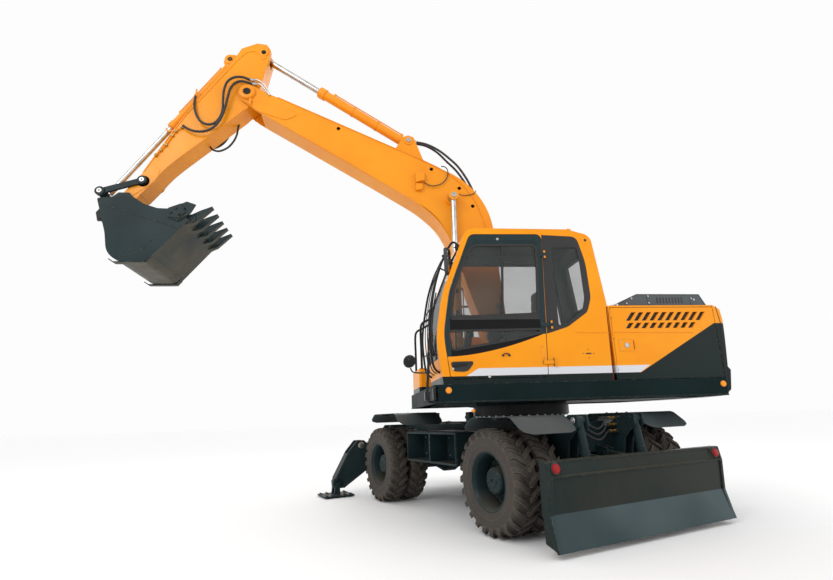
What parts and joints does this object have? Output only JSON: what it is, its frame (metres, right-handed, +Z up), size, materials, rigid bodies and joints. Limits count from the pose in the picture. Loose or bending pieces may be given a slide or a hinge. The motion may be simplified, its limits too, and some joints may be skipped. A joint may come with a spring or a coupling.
{
  "type": "wheeled excavator",
  "caption": "Wheeled excavator with a swinging upper body, digging arm with bucket, dozer blade, stabiliser legs and twin tyres",
  "frame": {"origin": "on the ground under the swing axis", "axes": "+Z up; the boom reaches towards -X and the counterweight is at +X; the cab is on the -Y side; the carriage is turned 68.76 degrees under the upper body, as in the picture"},
  "size_m": [8.0808, 5.7064, 6.695],
  "materials": {
    "machine_yellow": "gloss paint, worn and dusty",
    "slate_paint": "dark green-slate paint, scratched",
    "dark_metal": "satin black",
    "chrome_rod": "hard chrome",
    "tyre_rubber": "dusty rubber",
    "tinted_glass": "tinted safety glass",
    "seat_fabric": "woven",
    "dark_plastic": "grained",
    "hose_rubber": "ribbed hose",
    "bare_steel": "zinc and worn steel",
    "brass_fitting": "dull brass",
    "lamp_amber": "clear lens",
    "lamp_red": "clear lens",
    "grey_stripe": "light grey band",
    "mirror_face": "mirror"
  },
  "bodies": {
    "chassis": {"chassis_frame": "slate_paint", "blade_brackets": "slate_paint", "slew_ring": "dark_metal", "rear_axle": "slate_paint", "front_axle": "slate_paint", "fenders": "slate_paint", "tool_boxes": "slate_paint", "drive_line": "dark_metal"},
    "knuckle_left": {"knuckle_left": "slate_paint"},
    "knuckle_right": {"knuckle_right": "slate_paint"},
    "wheel_front_left": {"tyres_front_left": "tyre_rubber", "rims_front_left": "slate_paint"},
    "wheel_front_right": {"tyres_front_right": "tyre_rubber", "rims_front_right": "slate_paint"},
    "wheel_rear_left": {"tyres_rear_left": "tyre_rubber", "rims_rear_left": "slate_paint"},
    "wheel_rear_right": {"tyres_rear_right": "tyre_rubber", "rims_rear_right": "slate_paint"},
    "blade_arms": {"blade_arms": "slate_paint"},
    "blade": {"blade": "slate_paint"},
    "blade_links": {"blade_links": "slate_paint"},
    "blade_barrels": {"blade_barrels": "slate_paint"},
    "blade_rods": {"blade_rods": "chrome_rod"},
    "outrigger_left": {"outrigger_left": "slate_paint"},
    "pad_left": {"pad_left": "slate_paint"},
    "outrigger_barrel_left": {"outrigger_barrel_left": "slate_paint"},
    "outrigger_rod_left": {"outrigger_rod_left": "chrome_rod"},
    "outrigger_right": {"outrigger_right": "slate_paint"},
    "pad_right": {"pad_right": "slate_paint"},
    "outrigger_barrel_right": {"outrigger_barrel_right": "slate_paint"},
    "outrigger_rod_right": {"outrigger_rod_right": "chrome_rod"},
    "upper": {"upper_frame": "slate_paint", "cab_shell": "machine_yellow", "cab_glass": "tinted_glass", "seat": "seat_fabric", "console": "dark_plastic", "engine_block": "dark_metal", "engine_house": "slate_paint", "counterweight": "slate_paint", "right_tanks": "slate_paint", "handrails": "dark_metal"},
    "cab_door": {"cab_door": "slate_paint", "cab_door_glass": "tinted_glass"},
    "hood": {"hood": "slate_paint"},
    "side_door_left": {"side_door_left": "machine_yellow"},
    "side_door_right": {"side_door_right": "machine_yellow"},
    "boom": {"boom": "machine_yellow"},
    "boom_barrels": {"boom_barrels": "machine_yellow"},
    "boom_rods": {"boom_rods": "chrome_rod"},
    "arm": {"arm": "machine_yellow"},
    "arm_barrel": {"arm_barrel": "machine_yellow"},
    "arm_rod": {"arm_rod": "chrome_rod"},
    "bucket": {"bucket": "slate_paint"},
    "rocker_links": {"rocker_links": "slate_paint"},
    "bucket_link": {"bucket_link": "slate_paint"},
    "bucket_barrel": {"bucket_barrel": "machine_yellow"},
    "bucket_rod": {"bucket_rod": "chrome_rod"}
  },
  "joints": [
    {"name": "swing", "type": "hinge", "parent": "chassis", "child": "upper", "pos_m": [0, 0, 1.3], "axis": [0, 0, 1], "continuous": true},
    {"name": "steer_left", "type": "hinge", "parent": "chassis", "child": "knuckle_left", "pos_m": [-1.36304, 1.51942, 0.52602], "axis": [0, 0, 1], "range_deg": [-25, 25]},
    {"name": "steer_right", "type": "hinge", "parent": "chassis", "child": "knuckle_right", "pos_m": [-0.02085, 2.04109, 0.52602], "axis": [0, 0, 1], "range_deg": [-25, 25]},
    {"name": "wheel_front_left_spin", "type": "hinge", "parent": "knuckle_left", "child": "wheel_front_left", "pos_m": [-1.62402, 1.41798, 0.52602], "axis": [0.9321, 0.3623, 0], "continuous": true},
    {"name": "wheel_rear_left_spin", "type": "hinge", "parent": "chassis", "child": "wheel_rear_left", "pos_m": [-0.60965, -1.19182, 0.52602], "axis": [0.9321, 0.3623, 0], "continuous": true},
    {"name": "wheel_front_right_spin", "type": "hinge", "parent": "knuckle_right", "child": "wheel_front_right", "pos_m": [0.24013, 2.14253, 0.52602], "axis": [0.9321, 0.3623, 0], "continuous": true},
    {"name": "wheel_rear_right_spin", "type": "hinge", "parent": "chassis", "child": "wheel_rear_right", "pos_m": [1.2545, -0.46727, 0.52602], "axis": [0.9321, 0.3623, 0], "continuous": true},
    {"name": "blade_lift", "type": "hinge", "parent": "chassis", "child": "blade_arms", "pos_m": [0.42749, -1.09984, 0.36], "axis": [-0.9321, -0.3623, 0], "range_deg": [-19.5, 54]},
    {"name": "blade_pin_turn", "type": "hinge", "parent": "blade_arms", "child": "blade", "pos_m": [0.60138, -1.54724, 0.31], "axis": [-0.9321, -0.3623, 0], "range_deg": [-54, 19.5]},
    {"name": "blade_link_turn", "type": "hinge", "parent": "chassis", "child": "blade_links", "pos_m": [0.42749, -1.09984, 0.74], "axis": [-0.9321, -0.3623, 0], "range_deg": [-19.5, 54]},
    {"name": "blade_barrel_turn", "type": "hinge", "parent": "chassis", "child": "blade_barrels", "pos_m": [0.51443, -1.32354, 1.1], "axis": [-0.9321, -0.3623, 0], "range_deg": [-17.52, 6.33]},
    {"name": "blade_rod_slide", "type": "slide", "parent": "blade_barrels", "child": "blade_rods", "axis": [0.0467, -0.1202, -0.9916], "range_m": [-0.2121, 0.0766]},
    {"name": "outrigger_left_lift", "type": "hinge", "parent": "chassis", "child": "outrigger_left", "pos_m": [-1.94591, 2.30137, 0.55], "axis": [-0.3623, 0.9321, 0], "range_deg": [-8, 80]},
    {"name": "pad_left_turn", "type": "hinge", "parent": "outrigger_left", "child": "pad_left", "pos_m": [-2.50982, 2.0822, 0.165], "axis": [-0.3623, 0.9321, 0], "range_deg": [-36, 3.6]},
    {"name": "outrigger_barrel_left_turn", "type": "hinge", "parent": "chassis", "child": "outrigger_barrel_left", "pos_m": [-1.14433, 2.61293, 0.96], "axis": [-0.3623, 0.9321, 0], "range_deg": [-2.18, 0.22]},
    {"name": "outrigger_rod_left_slide", "type": "slide", "parent": "outrigger_barrel_left", "child": "outrigger_rod_left", "axis": [-0.9174, -0.3566, -0.1764], "range_m": [-0.365, 0.0365]},
    {"name": "outrigger_right_lift", "type": "hinge", "parent": "chassis", "child": "outrigger_right", "pos_m": [-0.11905, 3.01143, 0.55], "axis": [0.3623, -0.9321, 0], "range_deg": [-8, 80]},
    {"name": "pad_right_turn", "type": "hinge", "parent": "outrigger_right", "child": "pad_right", "pos_m": [0.44485, 3.23061, 0.165], "axis": [0.3623, -0.9321, 0], "range_deg": [-36, 3.6]},
    {"name": "outrigger_barrel_right_turn", "type": "hinge", "parent": "chassis", "child": "outrigger_barrel_right", "pos_m": [-0.92064, 2.69988, 0.96], "axis": [0.3623, -0.9321, 0], "range_deg": [-2.18, 0.22]},
    {"name": "outrigger_rod_right_slide", "type": "slide", "parent": "outrigger_barrel_right", "child": "outrigger_rod_right", "axis": [0.9174, 0.3566, -0.1764], "range_m": [-0.365, 0.0365]},
    {"name": "boom_lift", "type": "hinge", "parent": "upper", "child": "boom", "pos_m": [-0.25, 0, 2.05], "axis": [0, 1, 0], "range_deg": [-87, 10]},
    {"name": "boom_barrel_turn", "type": "hinge", "parent": "upper", "child": "boom_barrels", "pos_m": [-0.85, 0, 1.6], "axis": [0, 1, 0], "range_deg": [-87.73, 10.08]},
    {"name": "boom_rod_slide", "type": "slide", "parent": "boom_barrels", "child": "boom_rods", "axis": [0.0163, 0, 0.9999], "range_m": [-0.9887, 0.1136]},
    {"name": "arm_reach", "type": "hinge", "parent": "boom", "child": "arm", "pos_m": [-3.732, 0, 5.814], "axis": [0, -1, 0], "range_deg": [-60, 50]},
    {"name": "arm_barrel_turn", "type": "hinge", "parent": "boom", "child": "arm_barrel", "pos_m": [-1.4, 0, 5.159], "axis": [0, -1, 0], "range_deg": [-3.83, 3.19]},
    {"name": "arm_rod_slide", "type": "slide", "parent": "arm_barrel", "child": "arm_rod", "axis": [-0.8406, 0, 0.5417], "range_m": [-0.7107, 0.5922]},
    {"name": "bucket_turn", "type": "hinge", "parent": "arm", "child": "bucket", "pos_m": [-5.225, 0, 4.06], "axis": [0, 1, 0], "range_deg": [-15, 100]},
    {"name": "rocker_turn", "type": "hinge", "parent": "arm", "child": "rocker_links", "pos_m": [-5.01, 0, 4.377], "axis": [0, 1, 0], "range_deg": [-7.91, 52.76]},
    {"name": "bucket_link_turn", "type": "hinge", "parent": "rocker_links", "child": "bucket_link", "pos_m": [-5.519, 0, 4.205], "axis": [0, 1, 0], "range_deg": [-52.6, 7.89]},
    {"name": "bucket_barrel_turn", "type": "hinge", "parent": "arm", "child": "bucket_barrel", "pos_m": [-4.028, 0, 6.43], "axis": [0, 1, 0], "range_deg": [-0.8, 5.34]},
    {"name": "bucket_rod_slide", "type": "slide", "parent": "bucket_barrel", "child": "bucket_rod", "axis": [-0.5567, 0, -0.8307], "range_m": [-0.4189, 0.0628]},
    {"name": "cab_door_turn", "type": "hinge", "parent": "upper", "child": "cab_door", "pos_m": [0.038, -1.25, 2.4], "axis": [0, 0, 1], "range_deg": [0, 165]},
    {"name": "hood_lift", "type": "hinge", "parent": "upper", "child": "hood", "pos_m": [1.047, 0, 2.383], "axis": [0, -1, 0], "range_deg": [0, 70]},
    {"name": "side_door_left_turn", "type": "hinge", "parent": "upper", "child": "side_door_left", "pos_m": [0.767, -1.235, 2], "axis": [0, 0, 1], "range_deg": [-80, 0]},
    {"name": "side_door_right_turn", "type": "hinge", "parent": "upper", "child": "side_door_right", "pos_m": [0.767, 1.235, 2], "axis": [0, 0, -1], "range_deg": [-80, 0]}
  ],
  "couplings": [
    {"joint": "steer_right", "follows": "steer_left", "ratio": 1},
    {"joint": "blade_pin_turn", "follows": "blade_lift", "ratio": -1},
    {"joint": "blade_link_turn", "follows": "blade_lift", "ratio": 1},
    {"joint": "blade_barrel_turn", "follows": "blade_lift", "ratio": -0.32451},
    {"joint": "blade_rod_slide", "follows": "blade_lift", "m_per_rad": -0.22506},
    {"joint": "pad_left_turn", "follows": "outrigger_left_lift", "ratio": -0.45},
    {"joint": "outrigger_barrel_left_turn", "follows": "outrigger_left_lift", "ratio": -0.027284},
    {"joint": "outrigger_rod_left_slide", "follows": "outrigger_left_lift", "m_per_rad": -0.2614},
    {"joint": "pad_right_turn", "follows": "outrigger_right_lift", "ratio": -0.45},
    {"joint": "outrigger_barrel_right_turn", "follows": "outrigger_right_lift", "ratio": -0.027284},
    {"joint": "outrigger_rod_right_slide", "follows": "outrigger_right_lift", "m_per_rad": -0.2614},
    {"joint": "boom_barrel_turn", "follows": "boom_lift", "ratio": 1.0083},
    {"joint": "boom_rod_slide", "follows": "boom_lift", "m_per_rad": 0.65114},
    {"joint": "arm_barrel_turn", "follows": "arm_reach", "ratio": 0.06378},
    {"joint": "arm_rod_slide", "follows": "arm_reach", "m_per_rad": 0.67866},
    {"joint": "rocker_turn", "follows": "bucket_turn", "ratio": 0.5276},
    {"joint": "bucket_link_turn", "follows": "bucket_turn", "ratio": -0.526},
    {"joint": "bucket_barrel_turn", "follows": "bucket_turn", "ratio": 0.0534},
    {"joint": "bucket_rod_slide", "follows": "bucket_turn", "m_per_rad": -0.24}
  ]
}
